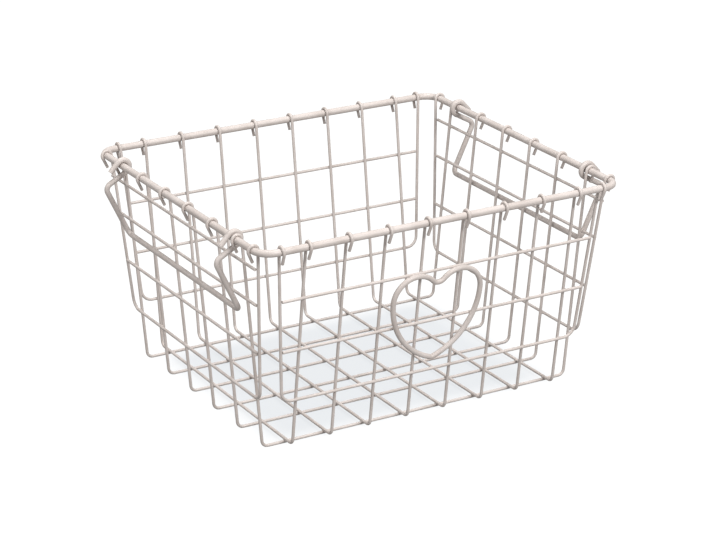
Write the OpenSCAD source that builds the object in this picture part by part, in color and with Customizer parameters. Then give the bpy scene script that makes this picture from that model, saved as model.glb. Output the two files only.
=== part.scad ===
// Wire locker basket: a round rim rod, bent mesh wires hooked over it, a wire frame
// with bars on each wall, two swinging handles and a wire heart on the front wall.
// X runs along the long side, Y is the depth with the heart at -Y, and Z is up.
// The basket stands on z = 0. All lengths are in millimetres.

/* [Rim] */
// Half of the rim's length, to the centre of its rod
rim_half_length = 182; // [120:0.5:260]
// Half of the rim's depth, to the centre of its rod
rim_half_depth = 158.4; // [100:0.2:240]
// Height of the rim's centre above the ground
rim_height = 198; // [120:1:320]
// Diameter of the rim rod
rim_d = 6.5; // [4:0.5:10]
// Centre-line radius of the rim's corners
rim_corner_r = 15; // [10:1:30]

/* [Mesh wires] */
// Diameter of the mesh wire
wire_d = 2.8; // [2:0.1:4]
// Half of the floor's length, where the floor line meets the wall line
floor_half_length = 159.6; // [100:0.2:240]
// Half of the floor's depth, where the floor line meets the wall line
floor_half_depth = 128.3; // [80:0.1:220]
// Spacing of the wires that run front to back
depth_wire_pitch = 39.2; // [30:0.1:44]
// Spacing of the wires that run side to side
length_wire_pitch = 45.8; // [38:0.1:54]
// Centre-line radius of the bend from floor to wall
floor_bend_r = 6; // [4:0.5:12]
// Clearance between a hook and the rim
hook_gap = 0.02; // [0.02:0.01:0.2]
// How far a hook turns down past the rim's outer side, in degrees
hook_wrap = 25; // [10:1:40]
// Length of the straight tip after a hook
hook_tip = 10; // [4:0.5:14]
// How deep crossing wires are pressed together by the weld
weld_sink = 0.05; // [0.02:0.01:0.1]

/* [Wall frames] */
// Half width of the front and back frames at the rim
long_frame_top = 163.1; // [145:0.1:164]
// Half width of the front and back frames at their lowest bar
long_frame_low = 152.6; // [142:0.1:160]
// Half width of the side frames at the rim
side_frame_top = 143.4; // [120:0.1:143.4]
// Half width of the side frames at their lowest bar
side_frame_low = 124.9; // [118:0.1:140]
// Centre-line radius of the frames' lower corners
frame_bend_r = 11; // [6:0.5:16]
// Height of the front frame's lowest bar
front_low_z = 50.4; // [30:0.1:60]
// Height of the back frame's lowest bar
back_low_z = 49.4; // [30:0.1:70]
// Height of the left frame's lowest bar
left_low_z = 50.6; // [30:0.1:70]
// Height of the right frame's lowest bar
right_low_z = 46.5; // [30:0.1:70]

/* [Bars] */
// How far under the rim's centre the front bars lie, upper first
front_bar_drop = [48.8, 98];
// How far under the rim's centre the back bars lie, upper first
back_bar_drop = [53, 100.7];
// How far under the rim's centre the left side bars lie, upper first
left_bar_drop = [18.9, 53.4, 100.7];
// How far under the rim's centre the right side bars lie, upper first
right_bar_drop = [20.5, 56.5, 104.8];

/* [Handles] */
// Diameter of the handle wire
handle_d = 5; // [4:0.5:6]
// Clearance between a handle's eye and the top of the rim
eye_gap = 0.3; // [0.3:0.05:0.6]
// How much lower the eye's centre hangs than the rim's centre
eye_drop = 0.5; // [0.3:0.1:1]
// Half of the distance between a handle's two legs
handle_half_width = 109; // [104:0.5:110]
// How far out of the rim's centre the handle's elbow stands
elbow_out = 18.2; // [16:0.1:24]
// How far under the rim's centre the handle's elbow stands
elbow_down = 17.9; // [14:0.1:22]
// Centre-line radius of the handle's elbow
elbow_r = 6; // [5:0.5:9]
// Clearance between the hanging grip and the upright wires
grip_gap = 2.07; // [0.5:0.01:5]
// How far under the rim's centre the grip hangs
grip_down = 66.4; // [55:0.1:75]
// Centre-line radius of the grip's corners
grip_bend_r = 6.5; // [5:0.5:14]
// Where the free end of an eye stops: out from the rim's centre
eye_end_out = 12.5; // [11:0.1:14]
// Where the free end of an eye stops: down from the rim's centre
eye_end_down = 4.5; // [3:0.1:6]

/* [Heart] */
// Diameter of the heart's wire
heart_d = 4.8; // [3:0.1:6]
// How far under the rim's centre the centres of the two round lobes lie
heart_drop = 72.5; // [72:0.5:90]
// Place of the heart's middle along the front wall
heart_x = -4.6; // [-60:0.1:60]
// Distance of each lobe's centre from the heart's middle
lobe_out = 22; // [18:0.5:26]
// Centre-line radius of a lobe
lobe_r = 22.7; // [20:0.1:23]
// Centre-line radius of the notch between the lobes
notch_r = 8; // [5:0.5:10]
// Centre-line radius of the long sides
heart_side_r = 65; // [55:1:90]

/* [Hidden] */
$fn = 36;
hairline = 0.01;
core_inset = 0.02;
core_reach = 0.2;
hook_r = rim_d / 2 + wire_d / 2 + hook_gap;
wire_step = wire_d - weld_sink;
length_wire_z = wire_d / 2;
depth_wire_z = length_wire_z + wire_step;
eye_r = rim_d / 2 + eye_gap + eye_drop + handle_d / 2;
heart_z = rim_height - heart_drop;
steel = [0.86, 0.82, 0.80];

// A plain straight piece of wire between two points of a flat drawing
module straight(a, b, d) {
    v = b - a;
    translate([a[0], a[1], 0])
        rotate([0, 0, atan2(v[1], v[0])])
            rotate([0, 90, 0])
                cylinder(h = norm(v), d = d);
}

// A plain bent piece of wire about a centre of a flat drawing
module bend(c, r, start, sweep, d) {
    translate([c[0], c[1], 0])
        rotate([0, 0, start])
            rotate_extrude(angle = sweep)
                translate([r, 0])
                    circle(d = d);
}

// The core that joins two pieces of one wire across the hairline between them
module core(p, angle, d) {
    straight(p - core_reach * unit(angle), p + core_reach * unit(angle), d - 2 * core_inset);
}

// A straight run whose core reaches into the bend at each end
module rod(a, b, d, join_b = true) {
    step = (b - a) / norm(b - a);
    straight(a + hairline * step, join_b ? b - hairline * step : b, d);
    straight(a - core_reach * step, join_b ? b + core_reach * step : a + core_reach * step,
        d - 2 * core_inset);
}

// A bend of wire; its ends are plain faces
module arc(c, r, start, sweep, d) {
    bend(c, r, start, sweep, d);
}

function unit(angle) = [cos(angle), sin(angle)];

// Where a leg that comes up from a foot leaves the circle about the rim:
// the angle there, seen from the rim's centre
function lean(half, foot, z) =
    atan2(z - rim_height, half - foot)
    + acos(hook_r / norm([half - foot, z - rim_height]));
function leg_top(half, foot, z) =
    [-half, rim_height] + hook_r * unit(lean(half, foot, z));

// The outward place of a wall's upright wires at a height, as a positive number
function upright(half, foot, base_z, z) =
    let(t = leg_top(half, foot, base_z))
    -(t[0] + (z - t[1]) / (base_z - t[1]) * (-foot - t[0]));
// The tilt of a wall's upright wires from the vertical
function wall_tilt(half, foot, base_z) =
    let(t = leg_top(half, foot, base_z))
    atan2(-foot - t[0], t[1] - base_z);
// The outward place of what is welded outside the upright wires
function outer(half, foot, base_z, z) =
    upright(half, foot, base_z, z) + wire_step / cos(wall_tilt(half, foot, base_z));

// How far in from the rim's centre the grip hangs, so that it clears the side wall
grip_in = rim_half_length - handle_d / 2 - grip_gap - wire_d / 2
    - upright(rim_half_length, floor_half_length, length_wire_z, rim_height - grip_down);

// The hook over the rim, from the top of a leg to its straight tip
module hook(centre, start) {
    over = 180 + hook_wrap;
    last = centre + hook_r * unit(over);
    tip = last + hook_tip * unit(over + 90);
    arc(centre, hook_r, start, over - start, wire_d);
    rod(last, tip, wire_d, false);
}

// One half of a mesh wire: hook, wall leg and floor bend
module mesh_half(half, foot, z) {
    top = leg_top(half, foot, z);
    low = [-foot, z];
    slope = atan2(low[1] - top[1], low[0] - top[0]);
    cut = floor_bend_r * tan(-slope / 2);
    hook([-half, rim_height], lean(half, foot, z));
    rod(top, low - cut * unit(slope), wire_d);
    arc([-foot + cut, z + floor_bend_r], floor_bend_r, slope - 90, -slope, wire_d);
}

// A whole mesh wire, drawn across the basket
module mesh_wire(half, foot, z) {
    top = leg_top(half, foot, z);
    slope = atan2(z - top[1], -foot - top[0]);
    cut = floor_bend_r * tan(-slope / 2);
    mesh_half(half, foot, z);
    mirror([1, 0, 0])
        mesh_half(half, foot, z);
    rod([-foot + cut, z], [foot - cut, z], wire_d);
}

module depth_wire(index) {
    color(steel)
        translate([depth_wire_pitch * (index - 4.5), 0, 0])
            rotate([90, 0, 90])
                mesh_wire(rim_half_depth, floor_half_depth, depth_wire_z);
}

module length_wire(index) {
    color(steel)
        translate([0, length_wire_pitch * (index - 3.5), 0])
            rotate([90, 0, 0])
                mesh_wire(rim_half_length, floor_half_length, length_wire_z);
}

// A wall's frame, for a wall that faces -Y: a lowest bar with two legs that end
// in hooks over the rim
module wall_frame(half, foot, base_z, top_w, low_w, low_z) {
    out = outer(half, foot, base_z, low_z);
    start = lean(half, out, low_z);
    top = leg_top(half, out, low_z);
    rise = norm([top[0] + out, top[1] - low_z]);
    slope = atan2(-rise, top_w - low_w);
    cut = frame_bend_r * tan(-slope / 2);
    translate([0, -out, low_z])
        rotate([atan2(-out - top[0], top[1] - low_z), 0, 0]) {
            rotate([90, 0, 0])
                rod([-low_w + cut, 0], [low_w - cut, 0], wire_d);
            for (side = [0, 1])
                mirror([side, 0, 0])
                    rotate([90, 0, 0]) {
                        rod([-top_w, rise], [-low_w, 0] - cut * unit(slope), wire_d);
                        arc([-low_w + cut, frame_bend_r], frame_bend_r,
                            slope - 90, -slope, wire_d);
                    }
            for (side = [-1, 1])
                translate([side * top_w, 0, rise])
                    rotate([0, side * atan2(top_w - low_w, rise), 0])
                        rotate([90, 0, 90])
                            frame_hook(start);
        }
}

// A frame leg's hook, which starts straight up at the leg's top
module frame_hook(start) {
    over = 180 + hook_wrap - start;
    centre = [-hook_r, 0];
    last = centre + hook_r * unit(over);
    tip = last + hook_tip * unit(over + 90);
    arc(centre, hook_r, 0, over, wire_d);
    rod(last, tip, wire_d, false);
}

// A straight bar outside the uprights of a wall that faces -Y, its ends against
// the inner edges of the frame's legs
module wall_bar(half, foot, base_z, top_w, low_w, low_z, z) {
    out = outer(half, foot, base_z, low_z);
    top = leg_top(half, out, low_z);
    leg_x = low_w + (z - low_z) / (top[1] - low_z) * (top_w - low_w);
    off = wire_step * (1 - (rim_height - z) / (rim_height - low_z));
    near = max(0, off - wire_d / 2);
    reach = sqrt(wire_d * wire_d / 4 - near * near) - weld_sink;
    translate([-leg_x + reach, -outer(half, foot, base_z, z), z])
        rotate([0, 90, 0])
            cylinder(h = 2 * (leg_x - reach), d = wire_d);
}

// The same two builders with the sizes of the long walls and of the short walls
module long_frame(low_z) {
    wall_frame(rim_half_depth, floor_half_depth, depth_wire_z,
        long_frame_top, long_frame_low, low_z);
}

module long_bar(low_z, z) {
    wall_bar(rim_half_depth, floor_half_depth, depth_wire_z,
        long_frame_top, long_frame_low, low_z, z);
}

module side_frame(low_z) {
    wall_frame(rim_half_length, floor_half_length, length_wire_z,
        side_frame_top, side_frame_low, low_z);
}

module side_bar(low_z, z) {
    wall_bar(rim_half_length, floor_half_length, length_wire_z,
        side_frame_top, side_frame_low, low_z, z);
}

// The closed rod that every wire hooks over
module rim() {
    run_x = rim_half_length - rim_corner_r;
    run_y = rim_half_depth - rim_corner_r;
    color(steel)
        translate([0, 0, rim_height]) {
            for (side = [-1, 1]) {
                straight([-run_x, side * rim_half_depth], [run_x, side * rim_half_depth], rim_d);
                straight([side * rim_half_length, -run_y], [side * rim_half_length, run_y], rim_d);
            }
            bend([run_x, run_y], rim_corner_r, 0, 90, rim_d);
            bend([-run_x, run_y], rim_corner_r, 90, 90, rim_d);
            bend([-run_x, -run_y], rim_corner_r, 180, 90, rim_d);
            bend([run_x, -run_y], rim_corner_r, 270, 90, rim_d);
        }
}

// One end of a handle, drawn from the side: the eye round the rim, its free tip
// and the elbow that carries the leg
module handle_side() {
    eye = [0, -eye_drop];
    elbow = [elbow_out, -elbow_down];
    tip = [eye_end_out, -eye_end_down];
    grip = [-grip_in, -grip_down];
    to_elbow = elbow - eye;
    to_tip = tip - eye;
    low = atan2(to_elbow[1], to_elbow[0]) - acos(eye_r / norm(to_elbow));
    high = atan2(to_tip[1], to_tip[0]) + acos(eye_r / norm(to_tip));
    arm = low + 90;
    leg = atan2(grip[1] - elbow[1], grip[0] - elbow[0]);
    cut = elbow_r * tan((arm - leg) / 2);
    arc(eye, eye_r, high, low + 360 - high, handle_d);
    rod(eye + eye_r * unit(high), tip, handle_d, false);
    rod(eye + eye_r * unit(low), elbow - cut * unit(arm), handle_d);
    arc(elbow - cut * unit(arm) + elbow_r * unit(arm - 90), elbow_r,
        leg + 90, arm - leg, handle_d);
}

// The legs and the grip of a handle, flat, with the grip at the bottom
module handle_loop() {
    drop = [elbow_out + grip_in, grip_down - elbow_down];
    arm = atan2(-elbow_down + eye_drop, elbow_out)
        - acos(eye_r / norm([elbow_out, elbow_down - eye_drop])) + 90;
    leg = atan2(-drop[1], -drop[0]);
    cut = elbow_r * tan((arm - leg) / 2);
    long = norm(drop) - cut;
    run = handle_half_width - grip_bend_r;
    rod([-run, 0], [run, 0], handle_d);
    for (side = [0, 1])
        mirror([side, 0, 0]) {
            rod([handle_half_width, grip_bend_r], [handle_half_width, long], handle_d);
            arc([run, grip_bend_r], grip_bend_r, -90, 90, handle_d);
        }
}

// A handle that hangs on the +X side of the rim
module handle() {
    color(steel)
        translate([rim_half_length, 0, rim_height]) {
            for (side = [-1, 1])
                translate([0, side * handle_half_width, 0])
                    rotate([90, 0, 0])
                        handle_side();
            translate([-grip_in, 0, -grip_down])
                rotate([0, atan2(elbow_out + grip_in, grip_down - elbow_down), 0])
                    rotate([90, 0, 90])
                        handle_loop();
        }
}

// Half of the heart, flat, about the height of the lobes' centres
module heart_half() {
    notch_up = sqrt((lobe_r + notch_r) * (lobe_r + notch_r) - lobe_out * lobe_out);
    meet = atan2(notch_up, -lobe_out);
    side_out = heart_side_r - lobe_out - lobe_r;
    point = acos(side_out / heart_side_r);
    lobe_cut = hairline / lobe_r * 180 / PI;
    side_cut = hairline / heart_side_r * 180 / PI;
    arc([lobe_out, 0], lobe_r, lobe_cut, meet - 2 * lobe_cut, heart_d);
    core([lobe_out + lobe_r, 0], 90, heart_d);
    core([lobe_out, 0] + lobe_r * unit(meet), meet + 90, heart_d);
    intersection() {
        arc([-side_out, 0], heart_side_r, -point - 8, point + 8 - side_cut, heart_d);
        translate([hairline, -heart_side_r, -heart_d])
            cube([2 * heart_side_r, 2 * heart_side_r, 2 * heart_d]);
    }
}

module heart() {
    notch_up = sqrt((lobe_r + notch_r) * (lobe_r + notch_r) - lobe_out * lobe_out);
    meet = atan2(notch_up, -lobe_out);
    side_out = heart_side_r - lobe_out - lobe_r;
    tilt = wall_tilt(rim_half_depth, floor_half_depth, depth_wire_z);
    away = wire_step + wire_d / 2 + heart_d / 2 - weld_sink;
    place = upright(rim_half_depth, floor_half_depth, depth_wire_z, heart_z) + away / cos(tilt);
    color(steel)
        translate([heart_x, -place, heart_z])
            rotate([tilt + 90, 0, 0]) {
                heart_half();
                mirror([1, 0, 0])
                    heart_half();
                arc([0, notch_up], notch_r, 360 - meet, 2 * meet - 180, heart_d);
                core([0, -sqrt(heart_side_r * heart_side_r - side_out * side_out)], 0,
                    heart_d - 0.2);
            }
}

module long_wire_1() { depth_wire(1); }
module long_wire_2() { depth_wire(2); }
module long_wire_3() { depth_wire(3); }
module long_wire_4() { depth_wire(4); }
module long_wire_5() { depth_wire(5); }
module long_wire_6() { depth_wire(6); }
module long_wire_7() { depth_wire(7); }
module long_wire_8() { depth_wire(8); }
module side_wire_1() { length_wire(1); }
module side_wire_2() { length_wire(2); }
module side_wire_3() { length_wire(3); }
module side_wire_4() { length_wire(4); }
module side_wire_5() { length_wire(5); }
module side_wire_6() { length_wire(6); }
module front_frame() { color(steel) long_frame(front_low_z); }
module back_frame() { color(steel) rotate([0, 0, 180]) long_frame(back_low_z); }
module left_frame() { color(steel) rotate([0, 0, -90]) side_frame(left_low_z); }
module right_frame() { color(steel) rotate([0, 0, 90]) side_frame(right_low_z); }
module front_bar_1() { color(steel) long_bar(front_low_z, rim_height - front_bar_drop[0]); }
module front_bar_2() { color(steel) long_bar(front_low_z, rim_height - front_bar_drop[1]); }
module back_bar_1() { color(steel) rotate([0, 0, 180]) long_bar(back_low_z, rim_height - back_bar_drop[0]); }
module back_bar_2() { color(steel) rotate([0, 0, 180]) long_bar(back_low_z, rim_height - back_bar_drop[1]); }
module left_bar_1() { color(steel) rotate([0, 0, -90]) side_bar(left_low_z, rim_height - left_bar_drop[0]); }
module left_bar_2() { color(steel) rotate([0, 0, -90]) side_bar(left_low_z, rim_height - left_bar_drop[1]); }
module left_bar_3() { color(steel) rotate([0, 0, -90]) side_bar(left_low_z, rim_height - left_bar_drop[2]); }
module right_bar_1() { color(steel) rotate([0, 0, 90]) side_bar(right_low_z, rim_height - right_bar_drop[0]); }
module right_bar_2() { color(steel) rotate([0, 0, 90]) side_bar(right_low_z, rim_height - right_bar_drop[1]); }
module right_bar_3() { color(steel) rotate([0, 0, 90]) side_bar(right_low_z, rim_height - right_bar_drop[2]); }
module left_handle() { mirror([1, 0, 0]) handle(); }
module right_handle() { handle(); }

rim();
long_wire_1();
long_wire_2();
long_wire_3();
long_wire_4();
long_wire_5();
long_wire_6();
long_wire_7();
long_wire_8();
side_wire_1();
side_wire_2();
side_wire_3();
side_wire_4();
side_wire_5();
side_wire_6();
front_frame();
back_frame();
left_frame();
right_frame();
front_bar_1();
front_bar_2();
back_bar_1();
back_bar_2();
left_bar_1();
left_bar_2();
left_bar_3();
right_bar_1();
right_bar_2();
right_bar_3();
left_handle();
right_handle();
heart();
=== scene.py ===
import math

import bmesh
import bpy
from mathutils import Matrix, Vector, noise


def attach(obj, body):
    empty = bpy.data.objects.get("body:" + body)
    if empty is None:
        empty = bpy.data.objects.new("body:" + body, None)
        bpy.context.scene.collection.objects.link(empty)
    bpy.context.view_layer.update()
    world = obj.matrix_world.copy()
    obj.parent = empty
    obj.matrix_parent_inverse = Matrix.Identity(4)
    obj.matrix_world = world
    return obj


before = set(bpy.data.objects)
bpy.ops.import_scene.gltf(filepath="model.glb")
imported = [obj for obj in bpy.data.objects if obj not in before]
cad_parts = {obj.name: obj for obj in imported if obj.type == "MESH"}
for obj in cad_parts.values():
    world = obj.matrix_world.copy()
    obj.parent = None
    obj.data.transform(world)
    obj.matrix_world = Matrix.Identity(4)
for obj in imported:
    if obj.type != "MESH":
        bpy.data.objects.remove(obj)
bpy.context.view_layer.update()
print("frame loaded:", len(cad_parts), "nodes")

mm = 0.001


def hexToLinear(code):
    parts = [int(code[i:i + 2], 16) / 255 for i in (1, 3, 5)]
    lin = [c / 12.92 if c <= 0.04045 else ((c + 0.055) / 1.055) ** 2.4 for c in parts]
    return (*lin, 1.0)


def addNode(tree, kind, links=(), **settings):
    # settings are properties where the node has them, otherwise its sockets by name
    node = tree.nodes.new(kind)
    for key, value in settings.items():
        if hasattr(node, key):
            setattr(node, key, value)
        else:
            node.inputs[key.replace("_", " ")].default_value = value
    for socket, source in links:
        tree.links.new(source, node.inputs[socket])
    return node


def emptyMaterial(name):
    made = bpy.data.materials.new(name)
    made.use_nodes = True
    made.node_tree.nodes.clear()
    return made, made.node_tree


# Powder-coated steel: baked polyester powder over mild steel wire. The coat is a
# satin warm greige with a slight orange peel and no bare metal anywhere.
powderCoat = {
    "colour": "#c9c0bb",
    "shadeColour": "#bbb1ab",  # where the coat lies thinner
    "roughness": 0.42,
    "roughnessSpread": 0.10,
    "ior": 1.50,
    "peelSize": 1.6,  # mm, drawn about twice as coarse as the real peel so that it shows
    "peelDepth": 0.03,  # mm
    "patchSize": 22.0,  # mm, slow drift of the coat's thickness
    "speckSize": 0.7,  # mm, grains of powder that didn't flow out
}


# The last argument scales the coat's colours: above 1 it paints light onto this copy of the coat,
# below 1 it paints shade.
def powderCoatedSteel(name, values, paintedLightScale=1.0):
    made, tree = emptyMaterial(name)
    where = addNode(tree, "ShaderNodeTexCoord").outputs["Object"]
    peel = addNode(tree, "ShaderNodeTexNoise", [("Vector", where)],
                   Scale=1000 / values["peelSize"], Detail=2.0, Roughness=0.45)
    patch = addNode(tree, "ShaderNodeTexNoise", [("Vector", where)],
                    Scale=1000 / values["patchSize"], Detail=3.0, Roughness=0.5)
    speck = addNode(tree, "ShaderNodeTexNoise", [("Vector", where)],
                    Scale=1000 / values["speckSize"], Detail=1.0, Roughness=0.5)
    ramp = addNode(tree, "ShaderNodeValToRGB", [("Fac", patch.outputs["Fac"])])
    ramp.color_ramp.elements[0].position = 0.30
    ramp.color_ramp.elements[1].position = 0.62
    for element, code in zip(ramp.color_ramp.elements, (values["shadeColour"], values["colour"])):
        colour = hexToLinear(code)
        element.color = (colour[0] * paintedLightScale, colour[1] * paintedLightScale, colour[2] * paintedLightScale, 1.0)
    low = values["roughness"] - values["roughnessSpread"] / 2
    rough = addNode(tree, "ShaderNodeMapRange", [("Value", speck.outputs["Fac"])],
                    From_Min=0.3, From_Max=0.7, To_Min=low, To_Max=low + values["roughnessSpread"])
    bump = addNode(tree, "ShaderNodeBump", [("Height", peel.outputs["Fac"])],
                   Strength=0.35, Distance=values["peelDepth"] * mm)
    shader = addNode(tree, "ShaderNodeBsdfPrincipled",
                     [("Base Color", ramp.outputs["Color"]),
                      ("Roughness", rough.outputs["Result"]),
                      ("Normal", bump.outputs["Normal"])],
                     Metallic=0.0, IOR=values["ior"])
    addNode(tree, "ShaderNodeOutputMaterial", [("Surface", shader.outputs["BSDF"])])
    return made


meshCoat = powderCoatedSteel("powderCoatedMeshWire", powderCoat)
# The rim's copy of the coat is painted 2% lighter and the handles' copy 2% darker, as painted
# light and painted shade, since the real coat is the same on every wire.
rimCoatPaintedLight = powderCoatedSteel("powderCoatedRimRodPaintedLight", powderCoat, 1.02)
handleCoatPaintedShade = powderCoatedSteel("powderCoatedHandleWirePaintedShade", powderCoat, 0.98)
heartCoat = powderCoatedSteel("powderCoatedHeartWire", powderCoat, 1.0)


def coatFor(name):
    if name == "rim":
        return rimCoatPaintedLight
    if name == "heart":
        return heartCoat
    if name.endswith("handle"):
        return handleCoatPaintedShade
    return meshCoat


for name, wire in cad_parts.items():
    if not wire.material_slots:
        continue
    for place in wire.material_slots:
        place.link = "OBJECT"
        place.material = coatFor(name)
print("coat on every wire")

# Where the wires of a wall cross its bars, in mm. The wall's uprights lean outward.
basket = {
    "rimHeight": 198.0,
    "hookRadius": 4.67,
    "wireRadius": 1.4,
    "long": {"half": 158.4, "foot": 128.3, "base": 4.15,
             "uprights": [39.2 * (k - 3.5) for k in range(8)]},
    "side": {"half": 182.0, "foot": 159.6, "base": 1.4,
             "uprights": [45.8 * (k - 2.5) for k in range(6)]},
    "walls": {
        "front": ("long", 0, (149.2, 100.0, 50.4)),
        "back": ("long", 180, (145.0, 97.3, 49.4)),
        "left": ("side", -90, (179.1, 144.6, 97.3, 50.6)),
        "right": ("side", 90, (177.5, 141.5, 93.2, 46.5)),
    },
}


def uprightLine(wall, height):
    # how far out the axis of an upright lies at a height, and its lean in radians
    reach = wall["half"] - wall["foot"]
    drop = wall["base"] - basket["rimHeight"]
    turn = math.atan2(drop, reach) + math.acos(basket["hookRadius"] / math.hypot(reach, drop))
    topOut = wall["half"] - basket["hookRadius"] * math.cos(turn)
    topUp = basket["rimHeight"] + basket["hookRadius"] * math.sin(turn)
    share = (topUp - height) / (topUp - wall["base"])
    lean = math.atan2(topOut - wall["foot"], topUp - wall["base"])
    return topOut + share * (wall["foot"] - topOut), lean


# Resistance welds: where two wires are pressed together hot, a low collar of steel
# squeezes out round the contact, and the coat rounds it off.
weld = {"across": 1.75, "thick": 0.95, "rough": 0.16}


def addWeldCollar(bm, at, turn, seed):
    made = bmesh.ops.create_icosphere(bm, subdivisions=2, radius=1.0)
    for vert in made["verts"]:
        wobble = 1 + weld["rough"] * noise.noise(vert.co * 1.7 + Vector((seed, 2 * seed, 0)))
        vert.co = Vector((vert.co.x * weld["across"] * wobble,
                          vert.co.y * weld["across"] * wobble,
                          vert.co.z * weld["thick"]))
        vert.co = (at + turn @ vert.co) * mm


def weldPiece(name, spots):
    bm = bmesh.new()
    for index, (at, turn) in enumerate(spots):
        addWeldCollar(bm, at, turn, 0.37 * index)
    mesh = bpy.data.meshes.new(name)
    bm.to_mesh(mesh)
    bm.free()
    for face in mesh.polygons:
        face.use_smooth = True
    piece = bpy.data.objects.new(name, mesh)
    bpy.context.scene.collection.objects.link(piece)
    mesh.materials.append(meshCoat)
    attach(piece, "basket")
    return piece


floorTop = basket["side"]["base"] + basket["wireRadius"] - 0.03
floorSpots = [(Vector((x, y, floorTop)), Matrix.Identity(3))
              for x in basket["long"]["uprights"] for y in basket["side"]["uprights"]]
weldPiece("floor_welds", floorSpots)

for name, (kind, turn, heights) in basket["walls"].items():
    wall = basket[kind]
    around = Matrix.Rotation(math.radians(turn), 3, "Z")
    spots = []
    for height in heights:
        out, lean = uprightLine(wall, height)
        out += (basket["wireRadius"] - 0.03) / math.cos(lean)
        facing = around @ Matrix.Rotation(math.pi / 2 + lean, 3, "X")
        for along in wall["uprights"]:
            spots.append((around @ Vector((along, -out, height)), facing))
    weldPiece(name + "_welds", spots)
print("welds set")

# Camera: solved from the basket's wire lines
camera = {"azimuth": -30.53, "elevation": 21.09, "roll": 0.29, "distance": 2.2668,
          "target": (0.00397, 0.0, 0.09715), "lens": 122.66}


def placeCamera(values):
    az, el, roll = (math.radians(values[k]) for k in ("azimuth", "elevation", "roll"))
    away = Vector((math.sin(az) * math.cos(el), -math.cos(az) * math.cos(el), math.sin(el)))
    level = (-away).cross(Vector((0, 0, 1))).normalized()
    upward = level.cross(-away)
    right = math.cos(roll) * level + math.sin(roll) * upward
    top = math.cos(roll) * upward - math.sin(roll) * level
    spot = Vector(values["target"]) + away * values["distance"]
    data = bpy.data.cameras.new("studioCamera")
    data.sensor_width = 36
    data.lens = values["lens"]
    data.clip_end = 50
    seen = bpy.data.objects.new("studioCamera", data)
    turn = Matrix((right, top, away)).transposed().to_4x4()
    seen.matrix_world = Matrix.Translation(spot) @ turn
    bpy.context.scene.collection.objects.link(seen)
    bpy.context.scene.camera = seen


placeCamera(camera)

# Studio: white paper floor that the camera sees nearly shadowless
studio = {
    "floorHalf": 12.0,
    "glow": 1.0,  # white that the camera sees wherever the paper is bare
    "paper": 0.06,  # the part that takes each wire's own shadow
    "shadeColour": "#e1e4e7",  # painted shadow: the mesh's many soft shadows drawn as one patch under the base
    "paintedShadowInner": (0.118, 0.090),  # half sizes where the painted shadow is full, in m
    "paintedShadowOuter": (0.172, 0.136),  # half sizes where the painted shadow has gone
    "bounce": 0.26,  # how much of its light the floor sends back up under the wires
    "skyLevel": 0.46,
    "lamps": {
        # name: (x, y, z, size in m, watts)
        "key": (0.5, -2.9, 2.2, 1.2, 86.0),
        "fill": (-2.4, -0.8, 2.0, 1.4, 26.0),
        "top": (0.1, 0.3, 2.8, 1.2, 44.0),
    },
}


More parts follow.
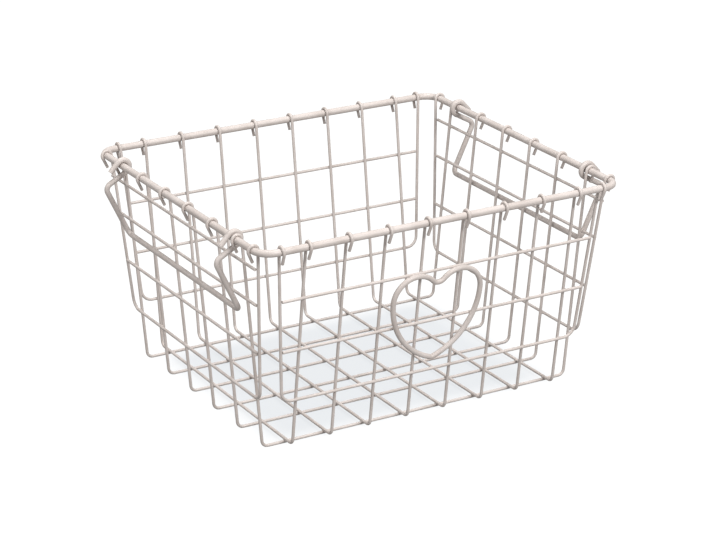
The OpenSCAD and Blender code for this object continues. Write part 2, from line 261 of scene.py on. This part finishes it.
def paperFloor(values):
    made, tree = emptyMaterial("whitePaper")
    # The glow is dimmed towards shadeColour in a soft box under the base: a painted shadow on the
    # paper, not one cast by the lamps.
    place = addNode(tree, "ShaderNodeNewGeometry").outputs["Position"]
    axes = addNode(tree, "ShaderNodeSeparateXYZ", [("Vector", place)])
    fades = []
    for axis, full, gone in zip("XY", values["paintedShadowInner"], values["paintedShadowOuter"]):
        size = addNode(tree, "ShaderNodeMath", [(0, axes.outputs[axis])], operation="ABSOLUTE")
        fades.append(addNode(tree, "ShaderNodeMapRange", [("Value", size.outputs["Value"])],
                             interpolation_type="SMOOTHSTEP",
                             From_Min=full, From_Max=gone, To_Min=1.0, To_Max=0.0))
    patch = addNode(tree, "ShaderNodeMath", [(0, fades[0].outputs["Result"]),
                                             (1, fades[1].outputs["Result"])],
                    operation="MULTIPLY")
    paintedShadowTone = addNode(tree, "ShaderNodeValToRGB", [("Fac", patch.outputs["Value"])])
    paintedShadowTone.color_ramp.elements[0].color = (1, 1, 1, 1)
    paintedShadowTone.color_ramp.elements[1].color = hexToLinear(values["shadeColour"])
    colour = paintedShadowTone.outputs["Color"]
    ray = addNode(tree, "ShaderNodeLightPath")
    paper = addNode(tree, "ShaderNodeBsdfDiffuse", Color=(values["paper"],) * 3 + (1.0,))
    glow = addNode(tree, "ShaderNodeEmission", [("Color", colour)], Strength=values["glow"])
    both = addNode(tree, "ShaderNodeAddShader",
                   [(0, paper.outputs["BSDF"]), (1, glow.outputs["Emission"])])
    plain = addNode(tree, "ShaderNodeBsdfDiffuse", Color=(values["bounce"],) * 3 + (1.0,))
    mix = addNode(tree, "ShaderNodeMixShader",
                  [(0, ray.outputs["Is Camera Ray"]), (1, plain.outputs["BSDF"]),
                   (2, both.outputs["Shader"])])
    addNode(tree, "ShaderNodeOutputMaterial", [("Surface", mix.outputs["Shader"])])
    return made


half = studio["floorHalf"]
sheet = bpy.data.meshes.new("paperFloor")
sheet.from_pydata([(-half, -half, 0), (half, -half, 0), (half, half, 0), (-half, half, 0)],
                  [], [(0, 1, 2, 3)])
sheet.materials.append(paperFloor(studio))
paper = bpy.data.objects.new("paperFloor", sheet)
bpy.context.scene.collection.objects.link(paper)

world = bpy.data.worlds.new("studioWhite")
bpy.context.scene.world = world
world.use_nodes = True
world.node_tree.nodes.clear()
ray = addNode(world.node_tree, "ShaderNodeLightPath")
seen = addNode(world.node_tree, "ShaderNodeBackground", Color=(1, 1, 1, 1), Strength=1.0)
sky = addNode(world.node_tree, "ShaderNodeBackground", Color=(1, 0.99, 0.98, 1),
              Strength=studio["skyLevel"])
mix = addNode(world.node_tree, "ShaderNodeMixShader",
              [(0, ray.outputs["Is Camera Ray"]), (1, sky.outputs["Background"]),
               (2, seen.outputs["Background"])])
addNode(world.node_tree, "ShaderNodeOutputWorld", [("Surface", mix.outputs["Shader"])])

for name, (x, y, z, size, watts) in studio["lamps"].items():
    data = bpy.data.lights.new(name + "Lamp", "AREA")
    data.size = size
    data.energy = watts
    lamp = bpy.data.objects.new(name + "Lamp", data)
    lamp.location = (x, y, z)
    aim = Vector((0, 0, 0.1)) - Vector((x, y, z))
    lamp.rotation_euler = aim.to_track_quat("-Z", "Y").to_euler()
    bpy.context.scene.collection.objects.link(lamp)
bpy.context.scene.view_settings.view_transform = "Standard"
print("studio lit")
